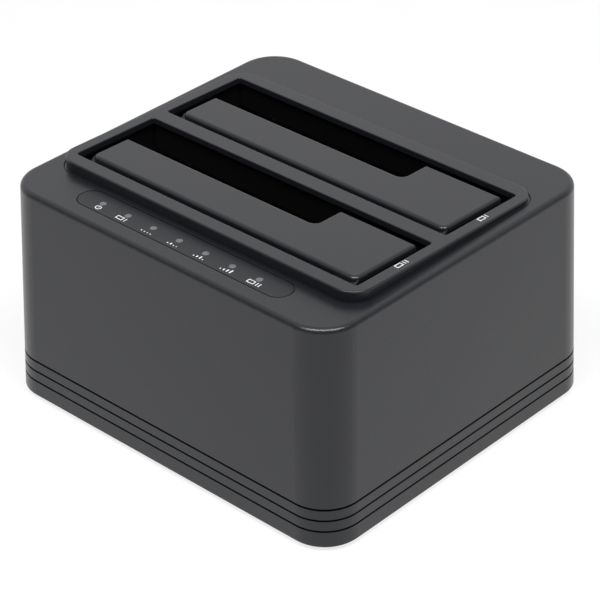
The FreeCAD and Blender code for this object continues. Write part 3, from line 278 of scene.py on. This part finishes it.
def metal(name, colour, rough, along=(1, 1, 12)):
    """Bare or plated metal with fine drawn lines along one axis."""
    material, tree, shader = new_material(name)
    vector = coordinates(tree, tuple(1 / a for a in along))
    lines = noise(tree, vector, scale=1 / (0.4 * MM), detail=3.0, rough=0.6)
    colours = ramp(tree, lines, shade(colour, 0.85), shade(colour, 1.1))
    roughness = spread(tree, lines, rough - 0.07, rough + 0.07)
    dress(tree, shader, colours, roughness, lines, strength=0.2, depth=0.01)
    shader.inputs["Metallic"].default_value = 1.0
    return material


def rubber(name, colour):
    """Dull rubber with a soft, uneven grain."""
    material, tree, shader = new_material(name)
    grain = noise(tree, coordinates(tree), scale=1 / (0.5 * MM), detail=4.0, rough=0.7)
    colours = ramp(tree, grain, shade(colour, 0.8), shade(colour, 1.3))
    dress(tree, shader, colours, spread(tree, grain, 0.75, 0.95), grain, strength=0.4, depth=0.05)
    return material


def circuit_board(name):
    """Green solder resist over faint copper tracks."""
    material, tree, shader = new_material(name)
    vector = coordinates(tree)
    tracks = add(tree, "ShaderNodeTexBrick", Scale=320.0, Mortar_Size=0.06, Mortar=(0.035, 0.16, 0.07, 1),
                 Color1=(0.012, 0.075, 0.035, 1), Color2=(0.010, 0.060, 0.028, 1))
    tree.links.new(vector, tracks.inputs["Vector"])
    roughness = spread(tree, noise(tree, vector, scale=900.0), 0.25, 0.4)
    dress(tree, shader, tracks.outputs["Color"], roughness, tracks.outputs["Fac"], strength=0.3, depth=0.02)
    return material


def frosted(name, colour, shade_rim=None):
    """Frosted clear plastic of the lamps and light pins, dim while the dock is off.

    The shaded rim is a range of distances, in millimetres, over which a pin's end is painted dark, as
    painted shade where it meets its hole.
    """
    material, tree, shader = new_material(name)
    vector = coordinates(tree)
    haze = noise(tree, vector, scale=1 / (0.6 * MM))
    colours = ramp(tree, haze, shade(colour, 0.9), shade(colour, 1.1))
    if shade_rim is not None:
        # Painted shade: towards its rim a pin's end is painted the housing's grey.
        rim_shade = add(tree, "ShaderNodeMapRange", From_Min=shade_rim[0] * MM, From_Max=shade_rim[1] * MM)
        tree.links.new(from_light(tree, vector), rim_shade.inputs["Value"])
        colours = blend(tree, rim_shade.outputs["Result"], "RGBA", colours, (*BODY_GREY, 1))
    dress(tree, shader, colours, spread(tree, haze, 0.3, 0.45), haze, strength=0.2, depth=0.02)
    shader.inputs["Subsurface Weight"].default_value = 0.2
    shader.inputs["Subsurface Radius"].default_value = (MM, MM, MM)
    return material


def ink(name):
    """White printing ink, slightly broken by the grain below it."""
    material, tree, shader = new_material(name)
    specks = noise(tree, coordinates(tree), scale=1 / (0.15 * MM), rough=0.7)
    colours = ramp(tree, specks, grey(0.62), grey(0.80), high_at=0.6)
    dress(tree, shader, colours, spread(tree, specks, 0.5, 0.65), specks, strength=0.2, depth=0.005)
    return material


FINISHES = {
    "shell_plastic": moulded("shell_grain", BODY_GREY, **BODY_FINISH),
    # The bezel's walls inside the bays, below the lip, are painted near black as shade.
    "bezel_plastic": moulded("bezel_grain", BODY_GREY, painted_shade=painted_bay_shade, **BODY_FINISH),
    "flap_plastic": moulded("flap_grain", BODY_GREY, **BODY_FINISH),
    "strip_plastic": moulded("strip_satin", BODY_GREY, 0.38, 0.2, 0.01, specular=STRIP_SPECULAR),
    "light_guide": frosted("light_guide", (0.115, 0.118, 0.13), LIGHT_SHADE_RIM),
    "black_plastic": moulded("black_moulding", BLACK, 0.3, grain_depth=0.01, variation=0.1, specular=0.3),
    "rubber": rubber("foot_rubber", (0.02, 0.02, 0.021)),
    "black_steel": metal("black_spring_steel", (0.03, 0.03, 0.032), 0.5),
    "pin_steel": metal("drawn_steel", (0.35, 0.36, 0.37), 0.35, (12, 1, 1)),
    "screw_steel": metal("black_zinc", (0.10, 0.10, 0.105), 0.4),
    "circuit_board": circuit_board("green_board"),
    "chip_epoxy": moulded("chip_epoxy", (0.012, 0.012, 0.013), 0.65, 0.15, 0.01),
    "can_metal": metal("drawn_can", (0.55, 0.56, 0.57), 0.3),
    "sink_metal": metal("anodised_fins", (0.48, 0.49, 0.51), 0.4, (1, 12, 1)),
    "ferrite": moulded("pressed_ferrite", (0.06, 0.06, 0.063), 0.8, 0.4, 0.04, variation=0.2),
    "contact_metal": metal("gold_plate", (0.75, 0.52, 0.18), 0.25),
    "shell_metal": metal("nickel_plate", (0.58, 0.58, 0.57), 0.3, (1, 12, 1)),
    "ribbon_film": moulded("ribbon_film", (0.62, 0.62, 0.60), 0.4, 0.5, 0.01),
    "header_plastic": moulded("header_nylon", (0.66, 0.63, 0.56), 0.5, 0.3, 0.01),
    "lamp_lens": frosted("lamp_lens", (0.70, 0.71, 0.68)),
    "socket_blue": moulded("socket_blue", (0.015, 0.07, 0.28), 0.4, 0.2, 0.01),
}
INK = ink("white_print")

for part in frame["record"]["subparts"]:
    mesh = NODES[part["node"]].data
    mesh.materials.clear()
    mesh.materials.append(FINISHES[part["material_slot"]])


# Objects

def place(name, data):
    """An object of the scene."""
    thing = bpy.data.objects.new(name, data)
    bpy.context.collection.objects.link(thing)
    return thing


def flat_mesh(name, polygons, material):
    """Flat faces, in metres, from the corners of each."""
    mesh = bpy.data.meshes.new(name)
    build = bmesh.new()
    for points in polygons:
        build.faces.new([build.verts.new((x, y, 0)) for x, y in points])
    bmesh.ops.recalc_face_normals(build, faces=build.faces)
    build.to_mesh(mesh)
    build.free()
    mesh.materials.append(material)
    return mesh


# Printed marks

def mark(name, polygons, placement):
    """A flat print from polygons in millimetres, laid on a surface by a matrix."""
    metres = [[(x * MM, y * MM) for x, y in points] for points in polygons]
    mesh = flat_mesh(name, metres, INK)
    mesh.transform(placement)
    piece = place(name, mesh)
    thick = piece.modifiers.new("Ink", "SOLIDIFY")
    thick.thickness = PRINT_LIFT * MM * 2
    thick.offset = 0
    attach(piece, "housing")


def bar(x0, x1, y0, y1):
    """A rectangle's four corners."""
    return [(x0, y0), (x1, y0), (x1, y1), (x0, y1)]


def frame_of(x0, x1, y0, y1, line):
    """A rectangle's outline as four bars."""
    return [bar(x0, x1, y0, y0 + line), bar(x0, x1, y1 - line, y1),
            bar(x0, x0 + line, y0 + line, y1 - line), bar(x1 - line, x1, y0 + line, y1 - line)]


def arc(radius, line, start, end, steps=20):
    """A ring's sector as short quads, with angles in degrees."""
    quads = []
    for i in range(steps):
        a, b = (math.radians(start + (end - start) * k / steps) for k in (i, i + 1))
        inner, outer = radius - line / 2, radius + line / 2
        corners = ((inner, a), (outer, a), (outer, b), (inner, b))
        quads.append([(r * math.cos(angle), r * math.sin(angle)) for r, angle in corners])
    return quads


def shifted(polygons, dx, dy):
    """The same polygons, moved."""
    return [[(x + dx, y + dy) for x, y in points] for points in polygons]


def power_sign(size):
    """A broken ring with a stroke in its gap."""
    ring = arc(size / 2 - STROKE / 2, STROKE, start=125, end=415)
    return ring + [bar(-STROKE / 2, STROKE / 2, 0, size / 2)]


def drive_sign(height, count):
    """A small drive outline with one or two strokes beside it."""
    width = height * 1.6
    gap, pitch = 0.45, 0.6
    shapes = frame_of(-width, 0, -height / 2, height / 2, STROKE)
    for i in range(count):
        x = height * (gap + pitch * i)
        shapes.append(bar(x, x + STROKE, -height / 2, height / 2))
    return shapes


def level_sign(height, filled):
    """Four bars that rise from left to right, of which some are cut down to a dot."""
    bars = 4
    pitch = height * 0.72
    width = STROKE * 1.6
    shapes = []
    for i in range(bars):
        x = pitch * (i - (bars - 1) / 2)
        top = height * (i + 1) / bars if i < filled else STROKE
        shapes.append(bar(x - width / 2, x + width / 2, -height / 2, top - height / 2))
    return shapes


def strip_marks():
    """A sign beside each of the seven lights."""
    strip_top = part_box("indicator_strip")[1].z + PRINT_LIFT * MM
    on_strip = Matrix.Translation((0, 0, strip_top))
    signs = [
        ("print_power", power_sign(POWER_SIZE), -31.2),
        ("print_drive_one", drive_sign(MARK_HEIGHT, 1), -21.2),
        ("print_level_one", level_sign(MARK_HEIGHT, 1), -11.4),
        ("print_level_two", level_sign(MARK_HEIGHT, 2), -1.2),
        ("print_level_three", level_sign(MARK_HEIGHT, 3), 8.9),
        ("print_level_four", level_sign(MARK_HEIGHT, 4), 19.1),
        ("print_drive_two", drive_sign(MARK_HEIGHT, 2), 29.6),
    ]
    for name, shapes, x in signs:
        mark(name, shifted(shapes, x, STRIP_MARKS_Y), on_strip)


def bay_marks():
    """A drive sign beside each bay, on the sloping bezel."""
    tilt = Matrix.Rotation(-math.atan(BEZEL_SLOPE), 4, "X")
    turn = Matrix.Rotation(math.radians(90), 4, "Z")
    for name, count, y in (("print_bay_two", 2, -18.3), ("print_bay_one", 1, 16.9)):
        z = BEZEL_HIGH - BEZEL_SLOPE * (y + BEZEL_FRONT) + PRINT_LIFT
        beside = Matrix.Translation((BAY_MARKS_X * MM, y * MM, z * MM))
        mark(name, drive_sign(MARK_HEIGHT, count), beside @ tilt @ turn)


strip_marks()
bay_marks()


# Floor and surroundings

def ray_kinds(tree, kinds):
    """1 for rays of any of the given kinds."""
    rays = tree.nodes.new("ShaderNodeLightPath")
    total = rays.outputs[kinds[0]]
    for kind in kinds[1:]:
        total = maths(tree, "MAXIMUM", total, rays.outputs[kind])
    return total


def stage_white():
    """White paper that, where it is looked at or mirrored, also gives light of its own."""
    material, tree, shader = new_material("stage_white")
    paper = noise(tree, coordinates(tree), scale=40.0, detail=3.0)
    colours = ramp(tree, paper, grey(0.92), grey(0.95))
    tree.links.new(colours, shader.inputs["Base Color"])
    shader.inputs["Roughness"].default_value = 0.9
    shader.inputs["Specular IOR Level"].default_value = 0.1
    glow = add(tree, "ShaderNodeEmission", Strength=1.0)
    share = maths(tree, "MULTIPLY", ray_kinds(tree, ("Is Camera Ray", *MIRRORED)), FLOOR_GLOW)
    mix = tree.nodes.new("ShaderNodeMixShader")
    tree.links.new(share, mix.inputs["Fac"])
    tree.links.new(shader.outputs[0], mix.inputs[1])
    tree.links.new(glow.outputs[0], mix.inputs[2])
    tree.links.new(mix.outputs[0], tree.nodes["Material Output"].inputs["Surface"])
    return material


def white_floor():
    """A wide white floor that keeps the dock's soft shadow."""
    square = bar(-FLOOR_HALF, FLOOR_HALF, -FLOOR_HALF, FLOOR_HALF)
    floor = place("floor", flat_mesh("floor", [square], stage_white()))


def world():
    """White surroundings. The object mirrors them as a white backdrop and a dimmer room in front."""
    scene = bpy.context.scene
    scene.world = bpy.data.worlds.new("studio")
    scene.world.use_nodes = True
    tree = scene.world.node_tree
    background = tree.nodes["Background"]
    background.inputs["Color"].default_value = (1, 1, 1, 1)
    source = tree.nodes.new("ShaderNodeTexCoord")
    behind = tree.nodes.new("ShaderNodeVectorMath")
    behind.operation = "DOT_PRODUCT"
    behind.inputs[1].default_value = BEHIND
    tree.links.new(source.outputs["Generated"], behind.inputs[0])
    backdrop = add(tree, "ShaderNodeMapRange", From_Min=BACKDROP_BEGINS, From_Max=BACKDROP_FULL,
                   To_Min=ROOM, To_Max=1.0)
    backdrop.interpolation_type = "SMOOTHSTEP"
    tree.links.new(behind.outputs["Value"], backdrop.inputs["Value"])
    mirrored = maths(tree, "MULTIPLY", ray_kinds(tree, MIRRORED), backdrop.outputs["Result"])
    seen = maths(tree, "MAXIMUM", mirrored, ray_kinds(tree, ("Is Camera Ray",)))
    strength = maths(tree, "MAXIMUM", seen, ROOM)
    tree.links.new(strength, background.inputs["Strength"])


# Light and camera

def lamp(name, location, aim, size, power):
    """A soft box that is turned to its aim."""
    data = bpy.data.lights.new(name, "AREA")
    data.shape = "RECTANGLE"
    data.size, data.size_y = size
    data.energy = power
    box = place(name, data)
    box.location = location
    box.rotation_euler = (Vector(aim) - Vector(location)).to_track_quat("-Z", "Y").to_euler()


def camera():
    """The photograph's viewpoint, by its angles, its distance and the offset of its aim."""
    azimuth, elevation, roll = (math.radians(angle) for angle in (AZIMUTH, ELEVATION, ROLL))
    back = Vector((math.sin(azimuth) * math.cos(elevation), -math.cos(azimuth) * math.cos(elevation),
                   math.sin(elevation)))
    level = Vector((math.cos(azimuth), math.sin(azimuth), 0))
    upright = back.cross(level)
    right = level * math.cos(roll) + upright * math.sin(roll)
    up = upright * math.cos(roll) - level * math.sin(roll)
    spot = back * DISTANCE + right * AIM_RIGHT + up * AIM_UP + Vector((0, 0, AIM_HEIGHT))
    data = bpy.data.cameras.new("camera")
    data.sensor_width = SENSOR_WIDTH
    data.lens = FOCAL_LENGTH / PICTURE_WIDTH * SENSOR_WIDTH
    data.clip_start = 0.05
    data.clip_end = 50
    viewer = place("camera", data)
    turn = Matrix((right, up, back)).transposed().to_4x4()
    viewer.matrix_world = Matrix.Translation(spot * MM) @ turn
    bpy.context.scene.camera = viewer


white_floor()
world()
lamp("key_box", location=(0.28, -0.30, 1.06), aim=(0, 0, 0.05), size=(1.3, 0.18), power=17.5)
camera()

view = bpy.context.scene.view_settings
view.view_transform = "Standard"
